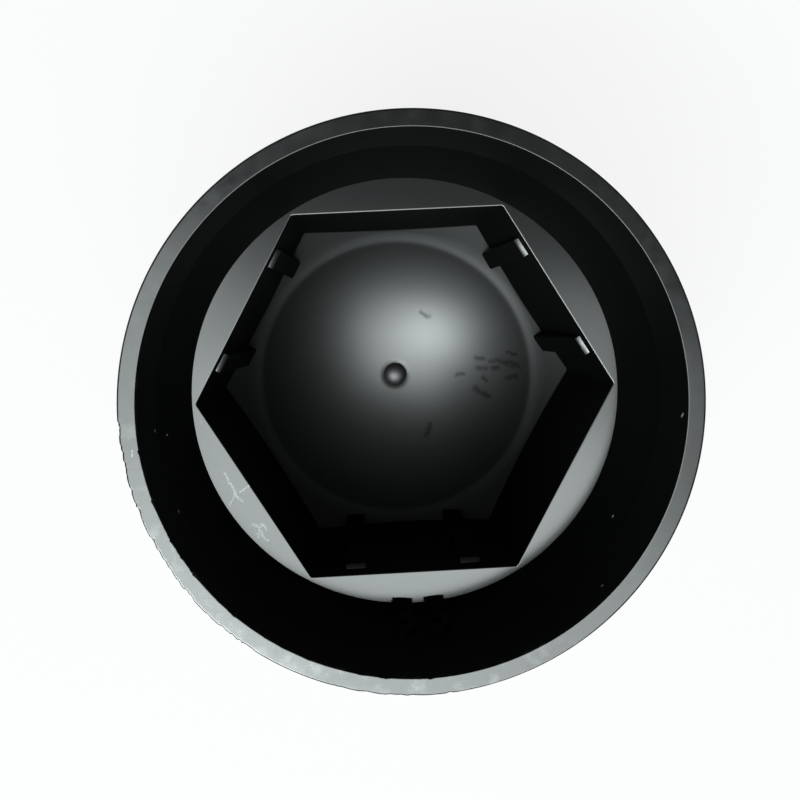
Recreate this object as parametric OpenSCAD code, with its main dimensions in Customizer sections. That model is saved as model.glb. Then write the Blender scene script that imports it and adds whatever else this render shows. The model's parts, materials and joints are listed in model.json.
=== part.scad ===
// Push-on cover cap for a truck wheel nut, moulded in one piece.
// It stands on its crown with the mouth up. The origin is the middle of the crown's foot.

/* [Socket] */
// Width across the flats of the hexagonal socket at its mouth
socket_af = 33; // [27:0.5:41]
// Depth of the socket, from the shoulder to the edge of the bowl
socket_depth = 24.6; // [18:0.1:32]
// Draft of each socket flat, in degrees
socket_draft = 0.5; // [0:0.1:1]
// Wall of the hexagon, the flare and the shoulder
wall = 1.6; // [1.4:0.1:2.4]
// How far each outside corner of the hexagon is blunted
corner_blunting = 0.5; // [0.1:0.05:0.8]

/* [Crush ribs] */
// Distance of a rib from the middle of its flat
rib_offset = 5.4; // [3:0.1:6.5]
// Width of a rib along its flat
rib_width = 2; // [1.2:0.1:2.6]
// How far a rib stands proud at its foot
rib_floor_height = 1.1; // [0.7:0.05:1.3]
// How far a rib stands proud at its upper end
rib_top_height = 0.5; // [0.3:0.05:0.7]
// Depth below the shoulder at which the ribs start
rib_start = 2.4; // [1:0.1:6]
// Slope of a rib's lead-in, in degrees from level
rib_lead_in = 25; // [10:5:60]

/* [Domed end] */
// Radius of the spherical bowl in the socket floor
bowl_radius = 24.7; // [20:0.1:50]
// Diameter of the bowl's edge
bowl_d = 29.8; // [20:0.1:31]
// Slope of the floor that runs from the bowl's edge to the flats, in degrees
floor_slope = 33; // [15:1:45]
// Diameter of the nub in the middle of the bowl
nub_d = 2.7; // [1.8:0.1:4]
// Height of the nub above the bowl
nub_height = 0.45; // [0.3:0.05:1.2]
// Wall between the bowl and the foot
crown_wall = 1.9; // [1.4:0.1:4]
// Wall under the corners of the socket floor
corner_wall = 2.2; // [1.6:0.1:3]
// Diameter of the flat foot on the crown
foot_d = 12; // [8:0.5:18]
// Diameter of the gate recess in the foot
gate_d = 4; // [2:0.5:6]
// Depth of the gate recess
gate_depth = 0.4; // [0.2:0.1:0.8]

/* [Skirt] */
// Width of the shoulder beyond the corners of the socket
shoulder_margin = 0.35; // [0.1:0.05:1.5]
// How much the flared wall widens on each side
flare_growth = 1.85; // [1:0.05:3]
// Depth of the flared wall, from the crease to the shoulder
flare_depth = 8; // [5:0.1:14]
// How much the collar widens on each side
collar_growth = 0.55; // [0.1:0.05:1]
// Depth of the collar, from the rim to the crease
collar_depth = 6.9; // [4:0.1:12]
// Width of the rim's flat face
rim_width = 1.4; // [1:0.1:2.4]
// Slope of the skirt's underside, in degrees from level
underside_slope = 40; // [30:1:60]
// Rounding between the skirt's outside and its underside
heel_radius = 2; // [0.5:0.1:3]

/* [Hidden] */
$fn = 128;
// Cuts run this far past the faces that they open
overlap = 1;
flat_angles = [30, 90, 150];
ribbed_flats = [30, 150, 270];

// Half widths of the socket and the hexagon outside it
mouth_apothem = socket_af / 2;
floor_apothem = mouth_apothem - socket_depth * tan(socket_draft);
mouth_corner = mouth_apothem / cos(30);
floor_corner = floor_apothem / cos(30);

// Heights above the foot, with the floor at the edge of the bowl
apex_z = crown_wall;
bowl_r = bowl_d / 2;
floor_z = apex_z + bowl_radius - sqrt(pow(bowl_radius, 2) - pow(bowl_r, 2));
corner_z = floor_z + (floor_corner - bowl_r) * tan(floor_slope);
shoulder_z = floor_z + socket_depth;
crease_z = shoulder_z + flare_depth;
rim_z = crease_z + collar_depth;

// The crown's sphere passes through the foot's edge and under the floor's corners
foot_r = foot_d / 2;
crown_rise = corner_z - corner_wall;
crown_z = (pow(floor_corner, 2) + pow(crown_rise, 2) - pow(foot_r, 2)) / (2 * crown_rise);
crown_radius = sqrt(pow(crown_z, 2) + pow(foot_r, 2));

// Radii of the skirt's inner wall, and of the outside that runs beside it
shoulder_r = mouth_corner + shoulder_margin;
crease_r = shoulder_r + flare_growth;
mouth_r = crease_r + collar_growth;
rim_r = mouth_r + rim_width;
heel_z = shoulder_z - wall;
heel_r = shoulder_r + wall * (1 - flare_growth / flare_depth);
root_r = mouth_apothem;
root_z = heel_z - (heel_r - root_r) * tan(underside_slope);

function unit(v) = v / norm(v);

// Centre of a circle of radius r that touches both sides of corner b
function corner_centre(a, b, c, r) =
    let(u = unit(a - b), v = unit(c - b), half = acos(u * v) / 2)
    b + unit(u + v) * r / sin(half);

// Point where that circle touches the side from corner b to a
function touch_point(a, b, c, r) =
    let(u = unit(a - b), v = unit(c - b), half = acos(u * v) / 2)
    b + u * r / tan(half);

// Half width of a socket flat at a height
function flat_x(z) = mouth_apothem - (shoulder_z - z) * tan(socket_draft);

// Hexagon with drafted flats at a distance outside the socket's
module drafted_hexagon(outside, low, high) {
    intersection() {
        drafted_slab(flat_angles[0], outside, low, high);
        drafted_slab(flat_angles[1], outside, low, high);
        drafted_slab(flat_angles[2], outside, low, high);
    }
}

module drafted_slab(angle, outside, low, high) {
    a = flat_x(low) + outside;
    b = flat_x(high) + outside;
    rotate([90, 0, angle])
        linear_extrude(height = 4 * b, center = true)
            polygon([[-a, low], [a, low], [b, high], [-b, high]]);
}

// Spherical crown with its foot, as wide as the blunted corners
module crown_envelope() {
    low_r = (flat_x(0) + wall) / cos(30) - corner_blunting;
    high_r = (flat_x(shoulder_z) + wall) / cos(30) - corner_blunting;
    rotate_extrude()
        intersection() {
            polygon([[0, 0], [low_r, 0], [high_r, shoulder_z], [0, shoulder_z]]);
            union() {
                translate([0, crown_z])
                    circle(r = crown_radius);
                translate([0, crown_z])
                    square([crown_radius, rim_z]);
            }
        }
}

module skirt_outside() {
    crease = [crease_r + wall, crease_z];
    heel = [heel_r, heel_z];
    root = [root_r, root_z];
    rotate_extrude()
        union() {
            polygon([
                [0, rim_z], [rim_r, rim_z], crease,
                touch_point(crease, heel, root, heel_radius),
                touch_point(root, heel, crease, heel_radius),
                root, [0, root_z]
            ]);
            translate(corner_centre(crease, heel, root, heel_radius))
                circle(r = heel_radius);
        }
}

module skirt_inside() {
    top_r = mouth_r + overlap * collar_growth / collar_depth;
    rotate_extrude()
        polygon([
            [0, shoulder_z], [shoulder_r, shoulder_z], [crease_r, crease_z],
            [top_r, rim_z + overlap], [0, rim_z + overlap]
        ]);
}

// Spherical bowl, and the cone that widens from its edge to the flats
module domed_end() {
    top_z = shoulder_z + overlap;
    top_r = mouth_corner + overlap;
    rotate_extrude() {
        intersection() {
            translate([0, apex_z + bowl_radius])
                circle(r = bowl_radius);
            square([bowl_r, floor_z]);
        }
        polygon([
            [0, floor_z], [bowl_r, floor_z],
            [top_r, floor_z + (top_r - bowl_r) * tan(floor_slope)], [top_r, top_z], [0, top_z]
        ]);
    }
}

// One rib on the flat that faces +X, growing towards the floor and rooted in the wall.
// Its lower end stays under the floor's cone and above the crown's outside.
module crush_rib() {
    start_z = shoulder_z - rib_start;
    root_depth = wall / 4;
    root_z = floor_z + (flat_x(floor_z) - rib_floor_height - bowl_r) * tan(floor_slope);
    top_z = start_z - rib_top_height * tan(rib_lead_in);
    rotate([90, 0, 0])
        linear_extrude(height = rib_width, center = true)
            polygon([
                [flat_x(root_z) + root_depth, root_z], [flat_x(start_z) + root_depth, start_z],
                [flat_x(start_z), start_z], [flat_x(top_z) - rib_top_height, top_z],
                [flat_x(root_z) - rib_floor_height, root_z]
            ]);
}

module rib_pair(angle) {
    for (side = [-1, 1])
        rotate(angle)
            translate([0, side * rib_offset, 0])
                crush_rib();
}

// Round pip in the middle of the bowl, opposite the gate
module nub() {
    r = (pow(nub_height, 2) + pow(nub_d / 2, 2)) / (2 * nub_height);
    root_z = apex_z - crown_wall / 4;
    intersection() {
        translate([0, 0, apex_z + nub_height - r])
            sphere(r = r);
        translate([0, 0, root_z])
            cylinder(d = 3 * nub_d, h = crown_wall + nub_height);
    }
}

module cap() {
    color("#232628") {
        difference() {
            union() {
                skirt_outside();
                intersection() {
                    drafted_hexagon(wall, 0, shoulder_z);
                    crown_envelope();
                }
            }
            skirt_inside();
            intersection() {
                drafted_hexagon(0, 0, shoulder_z + overlap);
                domed_end();
            }
            translate([0, 0, -overlap])
                cylinder(d = gate_d, h = overlap + gate_depth);
        }
        for (angle = ribbed_flats)
            rib_pair(angle);
        nub();
    }
}

cap();
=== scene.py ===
import json
import math
import random

import bmesh
import bpy
from mathutils import Matrix, Vector

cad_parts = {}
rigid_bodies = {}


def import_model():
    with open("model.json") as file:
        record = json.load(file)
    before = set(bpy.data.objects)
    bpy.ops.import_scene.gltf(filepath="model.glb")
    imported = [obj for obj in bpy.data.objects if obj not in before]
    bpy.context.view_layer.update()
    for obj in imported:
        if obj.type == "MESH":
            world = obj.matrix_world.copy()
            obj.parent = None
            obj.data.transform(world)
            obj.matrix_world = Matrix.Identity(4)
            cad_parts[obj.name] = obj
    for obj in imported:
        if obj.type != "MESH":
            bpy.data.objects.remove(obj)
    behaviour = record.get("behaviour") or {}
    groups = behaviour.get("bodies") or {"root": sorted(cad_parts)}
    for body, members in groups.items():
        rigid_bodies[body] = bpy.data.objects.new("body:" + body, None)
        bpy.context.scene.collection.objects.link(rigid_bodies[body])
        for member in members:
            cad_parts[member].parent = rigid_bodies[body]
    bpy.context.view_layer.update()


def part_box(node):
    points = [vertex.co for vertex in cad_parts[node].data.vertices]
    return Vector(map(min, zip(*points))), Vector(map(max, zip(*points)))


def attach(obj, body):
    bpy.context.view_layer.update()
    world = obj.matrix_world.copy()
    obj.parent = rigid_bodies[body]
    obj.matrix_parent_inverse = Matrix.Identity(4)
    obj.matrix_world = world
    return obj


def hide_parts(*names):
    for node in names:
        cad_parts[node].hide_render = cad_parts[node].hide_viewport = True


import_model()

scene = bpy.context.scene
mm = 0.001               # sizes below are in millimetres, and the scene is in metres
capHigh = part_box("cap")[1]
rimZ = capHigh.z / mm
rimR = capHigh.x / mm
hexHalf = 30             # degrees from the middle of a hexagon's side to its corner
settleSteps = 12         # repeats after which the height of a curved edge has settled
arcMiddle = 0.3          # a rounding's middle lies this share of its size off both faces


def rise(degrees):
    # height gained per millimetre on a slope
    return math.tan(math.radians(degrees))


# camera, from the circles of the rim, shoulder and bowl in the photograph
viewFit = {
    "frame": 800,        # width of the photograph's frame, in pixels
    "focal": 1180,       # focal length, in pixels of that frame
    "sensor": 36,        # any width does, since the lens follows it
    "tiltX": 0.082,      # the cap's turns in front of the camera, in radians
    "tiltY": 0.037,
    "roll": 0.051,
    "right": 1.098,      # where the rim's middle lies from the optical axis
    "down": 0.618,
    "distance": 92.70,   # from the lens to the rim's middle
    "clip": 5,           # what is nearer than this isn't drawn
}


def makeCamera(s):
    turn = Matrix.Rotation(s["tiltY"], 3, "Y") @ Matrix.Rotation(s["tiltX"], 3, "X")
    turn = turn @ Matrix.Rotation(s["roll"], 3, "Z")
    back = turn.transposed()
    place = back @ Vector((-s["right"], s["down"], s["distance"])) + Vector((0, 0, rimZ))
    data = bpy.data.cameras.new("camera")
    data.sensor_width = s["sensor"]
    data.lens = s["sensor"] * s["focal"] / s["frame"]
    data.clip_start = s["clip"] * mm
    camera = bpy.data.objects.new("camera", data)
    scene.collection.objects.link(camera)
    camera.matrix_world = Matrix.Translation(place * mm) @ back.to_4x4()
    scene.camera = camera
    print("camera at", [round(v, 4) for v in place])


makeCamera(viewFit)


def addPiece(name, bm):
    # a finished shape becomes an object at the origin
    mesh = bpy.data.meshes.new(name)
    bm.to_mesh(mesh)
    bm.free()
    piece = bpy.data.objects.new(name, mesh)
    scene.collection.objects.link(piece)
    return piece


def turnRound(bm, angle):
    # turns a shape about the cap's axis
    bmesh.ops.rotate(bm, verts=bm.verts, cent=Vector(),
                     matrix=Matrix.Rotation(math.radians(angle), 3, "Z"))


# sizes of the moulding, from the part's own drawing
cap = {
    # socket
    "mouthApothem": 16.5,    # half of its width across flats, at its mouth
    "socketDepth": 24.6,     # from the shoulder to the edge of the bowl
    "draft": 0.5,            # of each flat, in degrees
    "socketRound": 0.3,      # in its corners
    "mouthRound": 0.1,       # over the edge between the shoulder and the flats
    "floorRound": 0.12,      # along the foot of the flats
    "floorSlope": 33,        # from the bowl's edge out to the flats, in degrees
    "bandWidth": 1.0,        # a shallower band round the bowl's edge
    "bandSlope": 29,
    # bowl and nub
    "bowlR": 24.7,           # of its sphere
    "bowlEdgeR": 14.9,
    "bowlRound": 0.25,
    "nubR": 1.28,
    "nubHeight": 0.3,
    "nubHold": 0.08,         # the bowl's last ring lies this far outside the nub
    # crown
    "crownWall": 1.9,
    "cornerWall": 2.2,
    "crownRound": 0.7,       # over the edge between the dome and the hexagon's sides
    "footR": 6.0,
    "footRound": 0.3,
    "footHold": 0.8,         # a ring on the foot, this far outside the gate recess
    "gateR": 2.0,
    "gateDepth": 0.4,
    "gateLean": 0.35,        # the recess narrows by this on each side
    "gateRound": 0.12,
    "gatePip": ((0.12, 0.22), (0.4, 0.22), (0.62, 0.16), (0.7, 0)),    # radius, and how proud
    # outside
    "wall": 1.6,
    "cornerRound": 3.0,      # over the hexagon's corners
    "underside": 40,         # slope of the skirt's underside, in degrees
    "heelR": 2.0,
    # skirt
    "shoulderR": 19.403,
    "shoulderDip": 1.8,      # the shoulder dips a little towards the socket, in degrees
    "flareDepth": 8.0,
    "creaseHold": 0.1,       # rings this far from the inner crease keep it crisp
    "collarDepth": 6.9,
    "collarGrowth": 0.55,
    "rimWidth": 1.4,
    "rimShares": (0.32, 0.5, 0.7),    # rings across the rim's flat face
    "rimRound": 0.1,         # over its outer corner
    "mouthRimRound": 0.005,  # over its inner corner
    "outerReach": 0.6,       # how far the nicks run down the outside
    "innerReach": 0.4,
    "hold": 0.07,            # a ring this far beyond a rounding keeps the face beside it flat
    # points round the axis
    "segments": 480,
    "cornerSteps": (-0.45, -0.3, -0.15, 0.15, 0.3, 0.45),    # degrees off the hexagon's corners
    "sharpAngle": 40,        # edges that turn by more than this are shaded sharp
}

# how many rings each face and each rounding has
rings = {
    "gateRound": 2, "footRound": 2, "dome": 12, "crownRound": 4, "hexagon": 4,
    "underside": 2, "heel": 6, "flare": 2, "collar": 3,
    "innerFlare": 4, "shoulder": 1, "mouthRound": 3, "socket": 5, "floorRound": 3, "floor": 2,
    "band": 1, "bowlRound": 3, "bowl": 26, "nub": 9,
}

floorApothem = cap["mouthApothem"] - cap["socketDepth"] * rise(cap["draft"])
floorCorner = floorApothem / math.cos(math.radians(hexHalf))
floorSlope = rise(cap["floorSlope"])
bowlZ = cap["crownWall"] + cap["bowlR"]
floorZ = bowlZ - math.sqrt(cap["bowlR"] ** 2 - cap["bowlEdgeR"] ** 2)
shoulderZ = floorZ + cap["socketDepth"]
creaseZ = shoulderZ + cap["flareDepth"]
mouthR = rimR - cap["rimWidth"]
creaseR = mouthR - cap["collarGrowth"]
flareSlope = (creaseR - cap["shoulderR"]) / cap["flareDepth"]

# the crown's sphere passes through the foot's edge and under the corners of the socket's floor
crownRise = floorZ + (floorCorner - cap["bowlEdgeR"]) * floorSlope - cap["cornerWall"]
crownZ = (floorCorner ** 2 + crownRise ** 2 - cap["footR"] ** 2) / (2 * crownRise)
crownR = math.hypot(crownZ, cap["footR"])

# the heel is an arc between the flare's outside and the underside
rootR = cap["mouthApothem"]
heelZ = shoulderZ - cap["wall"]
heelPoint = Vector((cap["shoulderR"] + cap["wall"] * (1 - flareSlope), heelZ))
flareUp = Vector((creaseR + cap["wall"], creaseZ)) - heelPoint
underIn = Vector((rootR, heelZ - (heelPoint.x - rootR) * rise(cap["underside"]))) - heelPoint
flareUp.normalize()
underIn.normalize()
heelHalf = math.acos(flareUp.dot(underIn)) / 2
heelTangent = cap["heelR"] / math.tan(heelHalf)
heelCentre = heelPoint + (flareUp + underIn).normalized() * cap["heelR"] / math.sin(heelHalf)
heelHigh = heelPoint + flareUp * heelTangent
heelLow = heelPoint + underIn * heelTangent

# the rim's worn corners, with nicks as (angle, width, depth), the first two in degrees
rimWear = {
    "outer": (
        (200, 22, 0.05), (197.3, 2.2, 0.15), (203.8, 2.6, 0.18), (208.7, 2.0, 0.15),
        (211.2, 1.6, 0.12), (213.3, 1.4, 0.12), (215.9, 2.2, 0.15), (225.9, 1.6, 0.13),
        (264.5, 1.4, 0.1), (274.3, 1.0, 0.12),
    ),
    "inner": (
        (186.0, 0.9, 0.08), (196.7, 1.2, 0.1), (205.7, 1.2, 0.1), (209.8, 0.8, 0.08),
        (214.2, 1.2, 0.12), (226.1, 1.0, 0.1), (261.2, 1.2, 0.1), (270.7, 1.0, 0.1),
    ),
    # arcs with small random nicks: corner, start, end, how many, greatest depth
    "ragged": (
        ("outer", 180, 208, 20, 0.16), ("outer", 208, 234, 14, 0.17),
        ("outer", 250, 267, 12, 0.1), ("inner", 182, 272, 22, 0.05),
    ),
    "raggedWidth": (0.6, 2.4),
    "raggedShare": (0.3, 1),    # of the greatest depth
    "steep": 4,                 # one side of a nick is this many times as steep as the other
    "hollow": 5,                # a nick wider than this is an even hollow under the others
    "fine": ((180, 231), (251, 267)),    # arcs with closer points
    "finer": 3,                 # how many of them there are to one even step
    "seed": 5,
}


def makeNicks(s):
    # the listed nicks of both corners, with the random ones after them
    picker = random.Random(s["seed"])
    nicks = {side: list(s[side]) for side in ("outer", "inner")}
    for side, start, end, count, depth in s["ragged"]:
        for i in range(count):
            nicks[side].append((picker.uniform(start, end), picker.uniform(*s["raggedWidth"]),
                                depth * picker.uniform(*s["raggedShare"])))
    return nicks


def nickDepth(angle, nicks):
    # each nick has a steep side and a long one
    wide, narrow = 0, 0
    for centre, width, depth in nicks:
        off = (angle - centre) / width
        if width > rimWear["hollow"]:
            wide = max(wide, depth * max(0, 1 - abs(off)))
        else:
            share = 1 - off if off > 0 else 1 + rimWear["steep"] * off
            narrow = max(narrow, depth * max(0, share))
    return wide + narrow


def flatX(z):
    # half of the drafted socket's width across flats, at a height
    return cap["mouthApothem"] - (shoulderZ - z) * rise(cap["draft"])


def hexRadius(angle, apothem, rounding):
    # distance to a rounded hexagon's side, along a direction from its middle
    off = (angle % (2 * hexHalf)) - hexHalf
    tangent = (apothem - rounding) * rise(hexHalf)
    if abs(off) <= math.degrees(math.atan2(tangent, apothem)):
        return apothem / math.cos(math.radians(off))
    fromCorner = math.radians(hexHalf - abs(off))
    centre = (apothem - rounding) / math.cos(math.radians(hexHalf))
    across = centre * math.sin(fromCorner)
    return centre * math.cos(fromCorner) + math.sqrt(rounding ** 2 - across ** 2)


def outerHex(angle, z):
    return hexRadius(angle, flatX(z) + cap["wall"], cap["cornerRound"])


def circle(r, z):
    # a ring is a rule that gives its radius and height for an angle round the axis
    return lambda angle: (r, z)


def nickedRing(r, z, nicks, side):
    return lambda angle: (r + side * nickDepth(angle, nicks), z)


def mouthRing(outset=0, below=0):
    # at the socket's mouth, where the shoulder ends
    def ring(angle):
        r = hexRadius(angle, flatX(shoulderZ - below), cap["socketRound"]) + outset
        return r, shoulderZ - (cap["shoulderR"] - r) * rise(cap["shoulderDip"]) - below
    return ring


def floorHeight(r):
    beyond = r - cap["bowlEdgeR"]
    band = min(beyond, cap["bandWidth"])
    return floorZ + band * rise(cap["bandSlope"]) + (beyond - band) * floorSlope


def floorEdge(angle):
    # where the socket's flats meet the sloping floor
    z = floorZ
    for step in range(settleSteps):
        r = hexRadius(angle, flatX(z), cap["socketRound"])
        z = floorHeight(r)
    return r, z


def crownEdge(angle):
    # where the crown's sphere meets the hexagon's side
    z = crownRise
    for step in range(settleSteps):
        z = crownZ - math.sqrt(crownR ** 2 - outerHex(angle, z) ** 2)
    return outerHex(angle, z), z


def undersideEdge(angle):
    # where the skirt's underside meets the hexagon's side
    z = heelLow.y
    for step in range(settleSteps):
        r = outerHex(angle, z)
        z = heelLow.y - (heelLow.x - r) * rise(cap["underside"])
    return r, z


def between(a, b, share):
    return tuple(first + (second - first) * share for first, second in zip(a, b))


def towards(first, second, distance):
    # ring at a distance from the first, on the straight line to the second
    def ring(angle):
        a, b = first(angle), second(angle)
        return between(a, b, distance / math.hypot(b[0] - a[0], b[1] - a[1]))
    return ring


def blendRings(first, second, count):
    # rings in between two others, on straight lines
    def blend(share):
        return lambda angle: between(first(angle), second(angle), share)
    return [blend(i / (count + 1)) for i in range(1, count + 1)]


def roundedRings(before, edge, after, distance, count):
    # rings over an edge, from one side of it to the other
    first, last = towards(edge, before, distance), towards(edge, after, distance)

    def over(t):
        def ring(angle):
            sides = zip(first(angle), edge(angle), last(angle))
            return tuple((1 - t) ** 2 * a + 2 * t * (1 - t) * b + t * t * c for a, b, c in sides)
        return ring
    return [over(i / count) for i in range(count + 1)]


def domeRings(count):
    # the crown's sphere, from the foot's edge to the hexagon
    def dome(share):
        def ring(angle):
            r = cap["footR"] + (crownEdge(angle)[0] - cap["footR"]) * share
            return r, crownZ - math.sqrt(crownR ** 2 - r ** 2)
        return ring
    return [dome(i / count) for i in range(1, count)]


def crownRings(s):
    # from the middle of the gate recess over the foot, the dome and the hexagon's sides
    gateFloor = circle(s["gateR"] - s["gateLean"], s["gateDepth"])
    gateEdge = circle(s["gateR"], 0)
    footEdge = circle(s["footR"], 0)
    dome = domeRings(rings["dome"])
    made = [circle(r, s["gateDepth"] - proud) for r, proud in s["gatePip"]]
    made += [gateFloor]
    made += roundedRings(gateFloor, gateEdge, footEdge, s["gateRound"], rings["gateRound"])
    made += [circle(s["gateR"] + s["footHold"], 0)]
    made += roundedRings(gateEdge, footEdge, dome[0], s["footRound"], rings["footRound"])
    made += dome
    made += roundedRings(dome[-1], crownEdge, undersideEdge, s["crownRound"], rings["crownRound"])
    return made + blendRings(crownEdge, undersideEdge, rings["hexagon"]) + [undersideEdge]


def skirtRings(s):
    # the skirt's underside, its heel, and the outside of the flare and the collar
    start = math.atan2(heelLow.y - heelCentre.y, heelLow.x - heelCentre.x)
    end = math.atan2(heelHigh.y - heelCentre.y, heelHigh.x - heelCentre.x)
    crease = circle(creaseR + s["wall"], creaseZ)
    made = blendRings(undersideEdge, circle(*heelLow), rings["underside"])
    for i in range(rings["heel"] + 1):
        a = start + (end - start) * i / rings["heel"]
        made.append(circle(heelCentre.x + s["heelR"] * math.cos(a),
                           heelCentre.y + s["heelR"] * math.sin(a)))
    made += blendRings(circle(*heelHigh), crease, rings["flare"]) + [crease]
    return made + blendRings(crease, circle(rimR, rimZ), rings["collar"])


def rimRings(s, nicks):
    # the rim's flat face between its rounded and nicked corners
    hold, outer, inner = s["hold"], s["rimRound"], s["mouthRimRound"]
    outerLean = (rimR - creaseR - s["wall"]) / s["collarDepth"]
    innerLean = s["collarGrowth"] / s["collarDepth"]
    made = [circle(rimR - s["outerReach"] * outerLean, rimZ - s["outerReach"])]
    for inward, down in ((0, outer + 2 * hold), (0, outer), (arcMiddle * outer, arcMiddle * outer),
                         (outer, 0), (outer + hold, 0)):
        made.append(nickedRing(rimR - inward - down * outerLean, rimZ - down, nicks["outer"], -1))
    made += [circle(rimR - s["rimWidth"] * share, rimZ) for share in s["rimShares"]]
    for outward, down in ((inner + hold, 0), (inner, 0), (arcMiddle * inner, arcMiddle * inner),
                          (0, inner), (0, inner + hold)):
        made.append(nickedRing(mouthR + outward - down * innerLean, rimZ - down, nicks["inner"], 1))
    return made + [circle(mouthR - s["innerReach"] * innerLean, rimZ - s["innerReach"])]


def insideRings(s, bandEdge):
    # the inside of the collar and the flare, the shoulder, the flats and the sloping floor
    rimInner = circle(mouthR, rimZ)
    crease = circle(creaseR, creaseZ)
    shoulder = circle(s["shoulderR"], shoulderZ)
    mouth = mouthRing()
    mouthSide = mouthRing(s["mouthRound"] + s["hold"])
    mouthBelow = mouthRing(0, s["mouthRound"] + s["hold"])
    floorHold = s["floorRound"] + s["hold"]
    made = blendRings(rimInner, crease, rings["collar"])
    made += [towards(crease, rimInner, s["creaseHold"]), crease]
    made += [towards(crease, shoulder, s["creaseHold"])]
    made += blendRings(crease, shoulder, rings["innerFlare"]) + [shoulder]
    made += blendRings(shoulder, mouthSide, rings["shoulder"]) + [mouthSide]
    made += roundedRings(mouthSide, mouth, mouthBelow, s["mouthRound"], rings["mouthRound"])
    made += [mouthBelow]
    made += blendRings(mouth, floorEdge, rings["socket"])
    made += [towards(floorEdge, mouth, floorHold)]
    made += roundedRings(mouth, floorEdge, bandEdge, s["floorRound"], rings["floorRound"])
    made += [towards(floorEdge, bandEdge, floorHold)]
    return made + blendRings(floorEdge, bandEdge, rings["floor"]) + [bandEdge]


def bowlRings(s, bandEdge):
    # the bowl from its rounded edge down to the nub, and the nub
    edge = circle(s["bowlEdgeR"], floorZ)
    bowl = []
    for i in range(1, rings["bowl"] + 1):
        r = s["bowlEdgeR"] + (s["nubR"] + s["nubHold"] - s["bowlEdgeR"]) * i / rings["bowl"]
        bowl.append(circle(r, bowlZ - math.sqrt(s["bowlR"] ** 2 - r ** 2)))
    made = blendRings(bandEdge, edge, rings["band"])
    made += roundedRings(bandEdge, edge, bowl[0], s["bowlRound"], rings["bowlRound"]) + bowl
    nubSphere = (s["nubHeight"] ** 2 + s["nubR"] ** 2) / (2 * s["nubHeight"])
    nubTop = s["crownWall"] + s["nubHeight"]
    nubEdge = math.asin(s["nubR"] / nubSphere)
    for i in range(rings["nub"]):
        a = nubEdge * (1 - i / rings["nub"])
        made.append(circle(nubSphere * math.sin(a), nubTop - nubSphere * (1 - math.cos(a))))
    return made


def ringAngles(s):
    # even steps, with closer ones at the hexagon's corners and along the ragged rim
    step = 360 / s["segments"]
    finer = rimWear["finer"]
    angles = [360 * k / s["segments"] for k in range(s["segments"])]
    angles += [corner + off for corner in range(0, 360, 2 * hexHalf) for off in s["cornerSteps"]]
    for low, high in rimWear["fine"]:
        count = int((high - low) / step) * finer
        angles += [low + step * k / finer for k in range(count) if k % finer]
    return sorted(angle % 360 for angle in angles)


def extrudeRing(bm, edges, current):
    # the new ring's edges, and its points in the order of the current ones
    made = bmesh.ops.extrude_edge_only(bm, edges=edges)["geom"]
    fresh = {g for g in made if isinstance(g, bmesh.types.BMVert)}
    nextTo = {}
    for v in fresh:
        for e in v.link_edges:
            other = e.other_vert(v)
            if other not in fresh:
                nextTo[other] = v
    return [g for g in made if isinstance(g, bmesh.types.BMEdge)], [nextTo[v] for v in current]


def makeCapBody(s):
    bandR = s["bowlEdgeR"] + s["bandWidth"]
    bandEdge = circle(bandR, floorHeight(bandR))
    rules = crownRings(s) + skirtRings(s) + rimRings(s, makeNicks(rimWear))
    rules += insideRings(s, bandEdge) + bowlRings(s, bandEdge)
    angles = ringAngles(s)
    bm = bmesh.new()
    start = bmesh.ops.create_circle(bm, segments=len(angles), radius=1)["verts"]
    start = sorted(start, key=lambda v: math.atan2(v.co.y, v.co.x) % (2 * math.pi))
    edges, current = list(bm.edges), start
    for i, rule in enumerate(rules):
        if i:
            edges, current = extrudeRing(bm, edges, current)
        for angle, v in zip(angles, current):
            r, z = rule(angle)
            turn = math.radians(angle)
            v.co = Vector((r * math.cos(turn), r * math.sin(turn), z)) * mm
    # the middle of the gate's pip and the top of the nub are closed with fans
    for ring in (start, current):
        middle = bmesh.ops.contextual_create(bm, geom=ring)["faces"]
        bmesh.ops.poke(bm, faces=middle)
    bmesh.ops.recalc_face_normals(bm, faces=bm.faces)
    body = addPiece("capBody", bm)
    print("cap body:", len(body.data.polygons), "faces in", len(rules), "rings")
    return body


# crush ribs that grip the nut, two on every other flat
ribs = {
    "flats": (30, 150, 270),
    "offset": 5.4,       # from the middle of the flat
    "width": 2.0,
    "floorHeight": 1.1,  # how far it stands proud at the floor
    "topHeight": 0.5,
    "start": 2.4,        # below the shoulder
    "leadIn": 25,        # slope of its upper end, in degrees from level
    "round": 0.12,       # over the edges of its face
    "roundSegments": 3,
    "foot": 1,           # its lowest edges, up to this far above its foot, stay sharp
    "root": 0.4,         # how far it reaches into the wall
}


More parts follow.
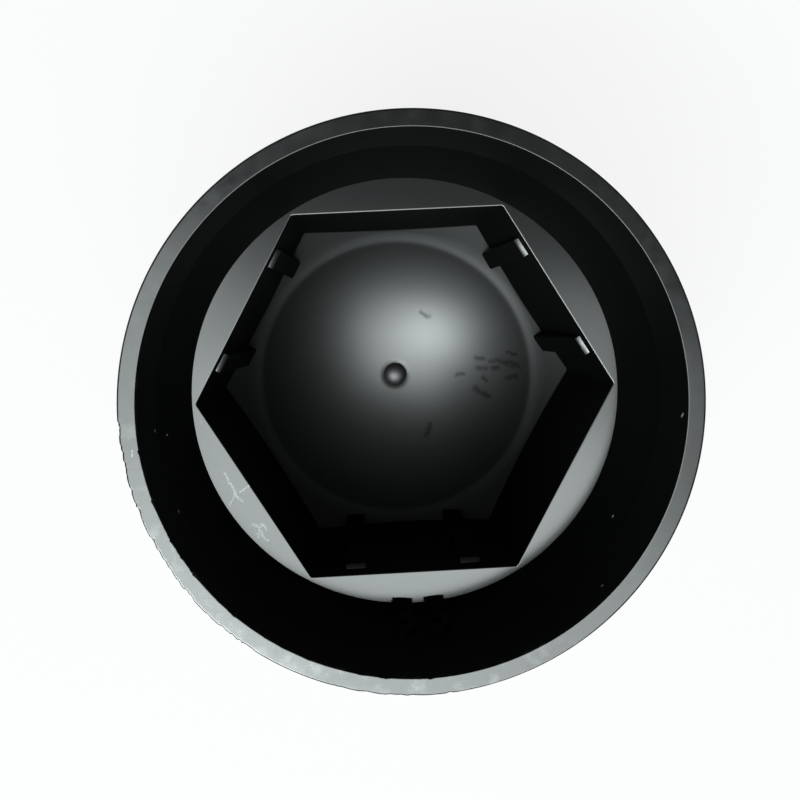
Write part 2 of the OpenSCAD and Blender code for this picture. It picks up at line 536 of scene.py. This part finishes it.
def makeRib(flat, side, s):
    startZ = shoulderZ - s["start"]
    rootZ = floorZ + (floorApothem - s["floorHeight"] - cap["bowlEdgeR"]) * floorSlope
    topZ = startZ - s["topHeight"] * rise(s["leadIn"])
    outline = (
        (flatX(rootZ) + s["root"], rootZ), (flatX(startZ) + s["root"], startZ),
        (flatX(startZ), startZ), (flatX(topZ) - s["topHeight"], topZ),
        (flatX(rootZ) - s["floorHeight"], rootZ),
    )
    bm = bmesh.new()
    corners = [bm.verts.new(Vector((x, -s["width"] / 2, z)) * mm) for x, z in outline]
    section = bmesh.ops.contextual_create(bm, geom=corners)["faces"]
    made = bmesh.ops.extrude_face_region(bm, geom=section)["geom"]
    bmesh.ops.translate(bm, verts=[g for g in made if isinstance(g, bmesh.types.BMVert)],
                        vec=Vector((0, s["width"] * mm, 0)))
    bmesh.ops.recalc_face_normals(bm, faces=bm.faces)
    frontX = (flatX(topZ) - s["topHeight"] / 2) * mm
    lowZ = (rootZ + s["foot"]) * mm
    front = [e for e in bm.edges if any(v.co.x < frontX and v.co.z > lowZ for v in e.verts)]
    bmesh.ops.bevel(bm, geom=front, offset=s["round"] * mm, segments=s["roundSegments"],
                    profile=0.5, affect="EDGES", clamp_overlap=True, material=-1)
    bmesh.ops.translate(bm, verts=bm.verts, vec=Vector((0, side * s["offset"], 0)) * mm)
    turnRound(bm, flat)
    return addPiece("rib", bm)


# raised nut size low on the flared wall, a plain number
sizeMark = {
    "digits": "33",
    "angle": 270.7,      # middle of the number, round the cap's axis
    "pitch": 8.7,        # angle from digit to digit
    "height": 6.1,
    "width": 2.1,
    "low": 0.1,          # from the shoulder, up the wall
    "proud": 0.5,
    "root": 0.5,         # how far it reaches into the wall
    "round": 0.02,       # over its edges, in the font's own size
    "curveSteps": 6,
    "merge": 1e-5,       # points closer than this are one, in the font's own size
}


def makeDigit(text, angle, s):
    curve = bpy.data.curves.new("digit", "FONT")
    curve.body = text
    curve.extrude = 0.5      # any thickness does, because it is scaled below
    curve.bevel_depth = s["round"]
    curve.bevel_resolution = 1
    curve.resolution_u = s["curveSteps"]
    written = bpy.data.objects.new("written", curve)
    scene.collection.objects.link(written)
    bpy.context.view_layer.update()
    graph = bpy.context.evaluated_depsgraph_get()
    mesh = bpy.data.meshes.new_from_object(written.evaluated_get(graph))
    bpy.data.objects.remove(written)
    bm = bmesh.new()
    bm.from_mesh(mesh)
    bpy.data.meshes.remove(mesh)
    bmesh.ops.remove_doubles(bm, verts=bm.verts, dist=s["merge"])
    low = Vector([min(v.co[i] for v in bm.verts) for i in range(3)])
    high = Vector([max(v.co[i] for v in bm.verts) for i in range(3)])
    bmesh.ops.translate(bm, verts=bm.verts, vec=-(low + high) / 2)
    thick = s["proud"] + s["root"]
    size = Vector((s["width"] / (high.x - low.x), s["height"] / (high.y - low.y),
                   thick / (high.z - low.z)))
    bmesh.ops.scale(bm, verts=bm.verts, vec=size)
    # the digit's face looks at the axis, and its head is towards the shoulder
    flareLean = math.atan(flareSlope)
    up = s["low"] + s["height"] / 2
    wallR = cap["shoulderR"] + up * math.sin(flareLean)
    wallZ = shoulderZ + up * math.cos(flareLean)
    face = Matrix(((0, 0, -1), (1, 0, 0), (0, -1, 0)))
    lean = Matrix.Rotation(flareLean, 3, "Y")
    bmesh.ops.transform(bm, matrix=(lean @ face).to_4x4(), verts=bm.verts)
    shift = (s["root"] - s["proud"]) / 2
    bmesh.ops.translate(bm, verts=bm.verts,
                        vec=Vector((wallR + shift * math.cos(flareLean), 0,
                                    wallZ - shift * math.sin(flareLean))))
    turnRound(bm, angle)
    bmesh.ops.scale(bm, verts=bm.verts, vec=Vector((mm, mm, mm)))
    bmesh.ops.recalc_face_normals(bm, faces=bm.faces)
    return addPiece("digit", bm)


def joinSolids(body, extras):
    for extra in extras:
        union = body.modifiers.new("union", "BOOLEAN")
        union.operation = "UNION"
        union.solver = "EXACT"
        union.object = extra
    bpy.context.view_layer.update()
    graph = bpy.context.evaluated_depsgraph_get()
    whole = bpy.data.meshes.new_from_object(body.evaluated_get(graph))
    for extra in extras:
        bpy.data.objects.remove(extra)
    body.modifiers.clear()
    body.data = whole
    body.data.name = body.name
    print("joined solids:", len(whole.polygons), "faces")


capBody = makeCapBody(cap)
extras = [makeRib(flat, side, ribs) for flat in ribs["flats"] for side in (-1, 1)]
count = len(sizeMark["digits"])
for i, text in enumerate(sizeMark["digits"]):
    angle = sizeMark["angle"] + (i - (count - 1) / 2) * sizeMark["pitch"]
    extras.append(makeDigit(text, angle, sizeMark))
joinSolids(capBody, extras)
capBody.data.shade_smooth()
capBody.data.set_sharp_from_angle(angle=math.radians(cap["sharpAngle"]))
weighted = capBody.modifiers.new("weighted normals", "WEIGHTED_NORMAL")
weighted.keep_sharp = True


def srgb(code):
    # a hex colour as linear red, green, blue and alpha
    parts = [int(code[i:i + 2], 16) / 255 for i in (1, 3, 5)]
    return [c / 12.92 if c <= 0.04045 else ((c + 0.055) / 1.055) ** 2.4 for c in parts] + [1]


def addNode(tree, kind, values={}):
    # a value goes to the socket or the setting of that name, and a node or a socket is linked
    node = tree.nodes.new(kind)
    for name, value in values.items():
        if isinstance(value, bpy.types.Node):
            value = next(output for output in value.outputs if output.enabled)
        if isinstance(value, bpy.types.NodeSocket):
            tree.links.new(value, node.inputs[name])
        elif isinstance(name, int) or name in node.inputs:
            node.inputs[name].default_value = value
        else:
            setattr(node, name, value)
    return node


def newMaterial(name):
    material = bpy.data.materials.new(name)
    material.use_nodes = True
    material.node_tree.nodes.clear()
    return material, material.node_tree


# marks of use, as strokes with a start, an end and a half width
wear = {
    "whitened": (
        ((-16.90, -6.31, 31.44), (-16.48, -7.28, 31.44), 0.09),
        ((-16.48, -7.28, 31.44), (-16.10, -8.19, 31.44), 0.11),
        ((-16.10, -8.19, 31.44), (-16.22, -8.86, 31.44), 0.11),
        ((-16.22, -8.86, 31.44), (-16.64, -9.55, 31.44), 0.09),
        ((-16.10, -8.19, 31.44), (-15.83, -8.70, 31.44), 0.15),
        ((-15.83, -8.70, 31.44), (-15.40, -9.15, 31.44), 0.11),
        ((-15.58, -8.22, 31.44), (-14.80, -7.80, 31.44), 0.09),
        ((-14.64, -11.30, 31.44), (-13.95, -11.56, 31.44), 0.12),
        ((-13.80, -11.32, 31.44), (-13.38, -11.78, 31.44), 0.13),
        ((-13.95, -11.56, 31.44), (-14.06, -12.10, 31.44), 0.13),
        ((-14.30, -12.16, 31.44), (-14.12, -12.50, 31.44), 0.10),
        ((-13.70, -11.96, 31.44), (-13.96, -12.36, 31.44), 0.08),
        ((-14.00, -12.08, 31.44), (-13.56, -12.71, 31.44), 0.09),
        ((-13.56, -12.71, 31.44), (-13.20, -12.92, 31.44), 0.12),
        ((-18.71, -1.47, 31.44), (-18.61, -2.12, 31.44), 0.06),
        ((9.51, -16.53, 31.44), (9.89, -16.27, 31.44), 0.07),
        ((-22.18, -2.2, 46.4), (-22.2, -2.7, 46.4), 0.05),
    ),
    "dust": (
        ((-21.30, -1.35, 40.65), (-21.30, -1.35, 40.65), 0.12),
        ((-20.79, -2.01, 37.92), (-20.79, -2.01, 37.92), 0.12),
        ((-19.73, -8.20, 40.85), (-19.73, -8.20, 40.85), 0.14),
        ((21.64, -1.72, 45.16), (21.60, -1.95, 44.9), 0.13),
        ((17.40, -11.24, 37.16), (17.40, -11.24, 37.16), 0.12),
        ((14.86, -15.69, 43.96), (14.86, -15.69, 43.96), 0.12),
    ),
    "smudges": (
        ((9.17, 1.48, 3.71), (10.05, 1.46, 4.08), 0.22),
        ((10.91, 1.20, 4.47), (11.88, 1.06, 4.97), 0.22),
        ((11.88, 0.95, 4.96), (13.76, 0.46, 6.09), 0.30),
        ((9.46, 0.32, 3.78), (10.22, 0.19, 4.12), 0.26),
        ((10.99, 0.28, 4.48), (11.53, 0.27, 4.76), 0.20),
        ((12.65, 1.84, 5.46), (13.59, 1.82, 6.06), 0.18),
        ((7.08, -0.42, 2.94), (7.64, -0.43, 3.12), 0.22),
        ((9.86, -0.72, 3.96), (10.28, -1.08, 4.17), 0.22),
        ((12.35, -0.77, 5.22), (13.40, -0.78, 5.87), 0.20),
        ((9.02, -2.08, 3.70), (10.30, -2.91, 4.34), 0.30),
        ((3.36, 7.03, 3.16), (4.03, 6.65, 3.16), 0.26),
        ((3.70, -5.94, 2.91), (3.27, -7.28, 3.23), 0.26),
    ),
}


def strokeShare(tree, place, strokes, soft):
    # 1 on the strokes, falling to 0 at their edges
    vector, number = "ShaderNodeVectorMath", "ShaderNodeMath"
    nearest = None
    for start, end, half in strokes:
        a, b = Vector(start) * mm, Vector(end) * mm
        along = (b - a).normalized()
        reach = addNode(tree, vector, {"operation": "SUBTRACT", 0: place, 1: a})
        reach = addNode(tree, vector, {"operation": "DOT_PRODUCT", 0: reach, 1: along})
        reach = addNode(tree, number, {"operation": "MINIMUM", 0: reach, 1: (b - a).length})
        reach = addNode(tree, number, {"operation": "MAXIMUM", 0: reach, 1: 0})
        point = addNode(tree, vector, {"operation": "MULTIPLY_ADD", 0: reach, 1: along, 2: a})
        gap = addNode(tree, vector, {"operation": "DISTANCE", 0: place, 1: point})
        gap = addNode(tree, number, {"operation": "DIVIDE", 0: gap, 1: half * mm})
        if nearest:
            gap = addNode(tree, number, {"operation": "MINIMUM", 0: nearest, 1: gap})
        nearest = gap
    return addNode(tree, "ShaderNodeMapRange",
                   {"Value": nearest, "From Min": 1 + soft, "From Max": 1 - soft})


# black polypropylene from a satin mould: a soft sheen over a near-black body
plastic = {
    "body": "#070909",
    "whitened": "#b8bbbd",   # scuffed plastic turns pale
    "dust": "#cfc9bf",
    "ior": 1.7,
    "grain": 0.6,            # size of the mould's grain, drawn coarser than it is to show
    "grainDepth": 0.02,
    "grainStrength": 0.02,
    "patch": 1.6,            # size of the blotches in its sheen
    "sway": (0.5, 0.17),     # scuffs and dust: size of their bends, and how far they wander
    "bend": (1.1, 0.55),     # the same for smudges
    "whitenedSoft": 0.5,     # how soft the marks' edges are, in their half widths
    "dustSoft": 0.3,
    "smudgeSoft": 0.9,
    "chalkAndPaintedSheen": 0.14,           # how pale the rim's patches are: chalky rubbing, with painted sheen where they face the lamps
    # the side the lamps light the rim from, where the pale patches are painted as sheen
    "lampSide": (-0.5, -0.866, 0),
    "rough": (0.19, 0.22),
    "rimRough": (0.15, 0.24),
    "ribRough": 0.34,
    "shoulderRough": 0.13,
    "deepRough": 0.38,
    "wallRough": 0.65,
    "shine": 0.64,
    "deepShine": 0.92,
    "wallShine": 0.05,
    "smudgeShine": 0.4,
    # where each zone starts and where it is whole
    "rimZone": (0.6, 0.3),          # below the rim
    "shoulderZone": (1.5, 0.8),     # below the shoulder
    "deepZone": (4.5, 3.5),         # above the bowl's edge
    "socketZone": (17.6, 17.4),     # from the axis
    "levelZone": (0.93, 0.98),      # how far a face looks up
    "steepZone": (0.65, 0.5),
    "inwardZone": (0.6, 0.3),       # how far a face looks away from the axis
    "lampSideZone": (0.2, 0.7),        # how far a place lies to the lamps' side, where the pale patches paint in sheen
    "blotchZone": (0.5, 0.66),      # of the blotches' strength
    "rubbedZone": (0.3, 0.7),
}


def blackMouldedPlastic(s):
    material, tree = newMaterial("blackMouldedPlastic")
    vector, number, zone = "ShaderNodeVectorMath", "ShaderNodeMath", "ShaderNodeMapRange"
    place = addNode(tree, "ShaderNodeTexCoord").outputs["Object"]
    normal = addNode(tree, "ShaderNodeNewGeometry").outputs["Normal"]
    grain = addNode(tree, "ShaderNodeTexNoise",
                    {"Vector": place, "Scale": 1 / (s["grain"] * mm), "Detail": 2})
    patch = addNode(tree, "ShaderNodeTexNoise",
                    {"Vector": place, "Scale": 1 / (s["patch"] * mm), "Detail": 5})

    # strokes wander a little and break up
    swayed = []
    for (size, far), detail in ((s["sway"], 1), (s["bend"], 2)):
        noise = addNode(tree, "ShaderNodeTexNoise",
                        {"Vector": place, "Scale": 1 / (size * mm), "Detail": detail})
        shift = addNode(tree, vector, {"operation": "MULTIPLY_ADD", 0: noise.outputs["Color"],
                                       1: (2 * far * mm,) * 3, 2: (-far * mm,) * 3})
        shift = addNode(tree, vector, {"operation": "ADD", 0: place, 1: shift})
        swayed.append(shift.outputs["Vector"])
    whitened = strokeShare(tree, swayed[0], wear["whitened"], s["whitenedSoft"])
    dust = strokeShare(tree, swayed[0], wear["dust"], s["dustSoft"])
    smudged = strokeShare(tree, swayed[1], wear["smudges"], s["smudgeSoft"])

    # what the zones go by
    height = addNode(tree, "ShaderNodeSeparateXYZ", {"Vector": place}).outputs["Z"]
    upright = addNode(tree, "ShaderNodeSeparateXYZ", {"Vector": normal}).outputs["Z"]
    level = addNode(tree, vector, {"operation": "MULTIPLY", 0: place, 1: (1, 1, 0)})
    reach = addNode(tree, vector, {"operation": "LENGTH", 0: level})
    outward = addNode(tree, vector, {"operation": "NORMALIZE", 0: level})
    leaning = addNode(tree, vector, {"operation": "DOT_PRODUCT", 0: outward, 1: normal})
    towardsLamps = addNode(tree, vector, {"operation": "DOT_PRODUCT", 0: outward, 1: s["lampSide"]})
    zones = {}
    for name, value, (start, whole) in (
            ("rim", height, [(rimZ - z) * mm for z in s["rimZone"]]),
            ("high", height, [(shoulderZ - z) * mm for z in s["shoulderZone"]]),
            ("deep", height, [(floorZ + z) * mm for z in s["deepZone"]]),
            ("socket", reach, [r * mm for r in s["socketZone"]]),
            ("level", upright, s["levelZone"]), ("steep", upright, s["steepZone"]),
            ("inward", leaning, s["inwardZone"]), ("chalkAndPaintedSheen", towardsLamps, s["lampSideZone"])):
        zones[name] = addNode(tree, zone, {"Value": value, "From Min": start, "From Max": whole})

    # the inside walls come from a coarser, duller part of the mould than what faces up
    wall = addNode(tree, number, {"operation": "MULTIPLY", 0: zones["steep"], 1: zones["inward"]})
    smooth = addNode(tree, number, {"operation": "MULTIPLY", 0: zones["level"], 1: zones["high"]})
    # the rim is rubbed: its sheen is blotchy, and pale patches on the side towards the lamps are
    # chalky wear with painted sheen
    start, whole = s["blotchZone"]
    chalkAndSheenColour = addNode(tree, zone, {"Value": patch, "From Min": start, "From Max": whole,
                                  "To Max": s["chalkAndPaintedSheen"]})
    for share in (zones["rim"], zones["chalkAndPaintedSheen"]):
        chalkAndSheenColour = addNode(tree, number, {"operation": "MULTIPLY", 0: chalkAndSheenColour, 1: share})
    start, whole = s["rubbedZone"]
    rubbed = addNode(tree, zone, {"Value": patch, "From Min": start, "From Max": whole,
                                  "To Min": s["rimRough"][0], "To Max": s["rimRough"][1]})

    # the ribs' faces and the deep end are duller, and the shoulder is smoother
    rough = addNode(tree, zone, {"Value": patch, "To Min": s["rough"][0], "To Max": s["rough"][1]})
    for share, value in ((zones["socket"], s["ribRough"]), (smooth, s["shoulderRough"]),
                         (zones["rim"], rubbed), (zones["deep"], s["deepRough"]),
                         (wall, s["wallRough"])):
        rough = addNode(tree, "ShaderNodeMix", {"Factor": share, "A": rough, "B": value})
    shine = addNode(tree, zone, {"Value": zones["deep"], "To Min": s["shine"],
                                 "To Max": s["deepShine"]})
    for share, value in ((wall, s["wallShine"]), (smudged, s["smudgeShine"])):
        shine = addNode(tree, "ShaderNodeMix", {"Factor": share, "A": shine, "B": value})

    colour = addNode(tree, vector, {"operation": "MULTIPLY_ADD", 0: whitened,
                                    1: srgb(s["whitened"])[:3], 2: srgb(s["body"])[:3]})
    # painted sheen, with chalky wear: pale patches added to the rim's colour on the lamps' side
    colour = addNode(tree, vector, {"operation": "ADD", 0: colour, 1: chalkAndSheenColour})
    colour = addNode(tree, vector, {"operation": "MULTIPLY_ADD", 0: dust,
                                    1: srgb(s["dust"])[:3], 2: colour})
    bump = addNode(tree, "ShaderNodeBump", {"Height": grain, "Strength": s["grainStrength"],
                                            "Distance": s["grainDepth"] * mm})
    shader = addNode(tree, "ShaderNodeBsdfPrincipled",
                     {"Base Color": colour, "Roughness": rough, "IOR": s["ior"], "Normal": bump,
                      "Specular IOR Level": shine})
    addNode(tree, "ShaderNodeOutputMaterial", {"Surface": shader})
    print("moulded plastic:", len(tree.nodes), "nodes")
    return material


capBody.data.materials.clear()
capBody.data.materials.append(blackMouldedPlastic(plastic))
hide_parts("cap")
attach(capBody, "root")

# floor, backdrop and lamps, in metres
studio = {
    "floorSize": 1.2,
    "floorColour": "#f4f4f4",
    "floorWhite": 0.85,  # share of plain white where the camera sees it; the rest holds the shadow
    "lampHeight": 0.5,   # above the rim
    "lampColour": (0.92, 1.0, 1.0),
    "azimuth": 256,      # the side that the lamps are on
    # parts of one broad window: from, to, left, right in degrees off the axis, and radiance
    "lamps": (
        (22, 36, -28, 0, 16.5), (22, 36, 0, 28, 6.4),
        (10, 22, -20, -4, 5.6), (10, 22, -4, 12, 4.8), (10, 22, 12, 24, 3.7),
        (-2, 10, -20, -6, 3.6), (4, 10, -6, 8, 4.8), (4, 10, 8, 15, 4.4), (-2, 10, 15, 20, 2.2),
        (1, 4, -6, 8, 2.2), (-2, 4, 8, 15, 1.9), (-2, 1, -6, 8, 0.4), (-14, -2, -20, 16, 0.16),
    ),
    "worldLight": 0.04,
    "horizon": (0.45, 0.05),    # shiny faces see the white backdrop come in as they look lower
}


def whiteRays(tree, glossy):
    # 1 for rays straight from the camera or through glass, and a share of the glossy ones
    rays = addNode(tree, "ShaderNodeLightPath").outputs
    straight = addNode(tree, "ShaderNodeMath", {"operation": "MAXIMUM", 0: rays["Is Camera Ray"],
                                                1: rays["Is Transmission Ray"]})
    shiny = addNode(tree, "ShaderNodeMath", {"operation": "MULTIPLY", 0: rays["Is Glossy Ray"],
                                             1: glossy})
    return addNode(tree, "ShaderNodeMath", {"operation": "MAXIMUM", 0: straight, 1: shiny})


def makeFloor(s):
    # matt pale paper, which the camera sees as almost white
    bm = bmesh.new()
    bmesh.ops.create_grid(bm, x_segments=1, y_segments=1, size=s["floorSize"] / 2)
    floor = addPiece("floor", bm)
    material, tree = newMaterial("palePaper")
    matt = addNode(tree, "ShaderNodeBsdfDiffuse", {"Color": srgb(s["floorColour"])})
    white = addNode(tree, "ShaderNodeEmission", {"Strength": 1})
    share = addNode(tree, "ShaderNodeMath", {"operation": "MULTIPLY", 0: whiteRays(tree, 1),
                                             1: s["floorWhite"]})
    mixed = addNode(tree, "ShaderNodeMixShader", {0: share, 1: matt, 2: white})
    addNode(tree, "ShaderNodeOutputMaterial", {"Surface": mixed})
    floor.data.materials.append(material)


def makeWorld(s):
    world = bpy.data.worlds.new("studio")
    world.use_nodes = True
    tree = world.node_tree
    tree.nodes.clear()
    direction = addNode(tree, "ShaderNodeTexCoord").outputs["Generated"]
    height = addNode(tree, "ShaderNodeSeparateXYZ", {"Vector": direction}).outputs["Z"]
    high, low = s["horizon"]
    backdrop = addNode(tree, "ShaderNodeMapRange",
                       {"Value": height, "From Min": high, "From Max": low})
    strength = addNode(tree, "ShaderNodeMapRange",
                       {"Value": whiteRays(tree, backdrop), "To Min": s["worldLight"], "To Max": 1})
    back = addNode(tree, "ShaderNodeBackground", {"Color": (1, 1, 1, 1), "Strength": strength})
    addNode(tree, "ShaderNodeOutputWorld", {"Surface": back})
    scene.world = world


def makeLamp(name, sides, s):
    # one part of the window, whose light comes down from the photograph's lower left
    near, far, left, right = (s["lampHeight"] * rise(side) for side in sides[:4])
    lamp = bpy.data.lights.new(name, "AREA")
    lamp.shape = "RECTANGLE"
    lamp.size = far - near
    lamp.size_y = right - left
    lamp.energy = sides[4] * math.pi * lamp.size * lamp.size_y    # watts for its radiance
    lamp.color = s["lampColour"]
    light = bpy.data.objects.new(name, lamp)
    scene.collection.objects.link(light)
    turn = Matrix.Rotation(math.radians(s["azimuth"]), 4, "Z")
    middle = ((near + far) / 2, (left + right) / 2, s["lampHeight"] + rimZ * mm)
    light.matrix_world = turn @ Matrix.Translation(middle)


makeFloor(studio)
makeWorld(studio)
for i, sides in enumerate(studio["lamps"]):
    makeLamp("lamp" + str(i + 1), sides, studio)
print("studio:", len(studio["lamps"]), "lamps")

scene.view_settings.view_transform = "Standard"
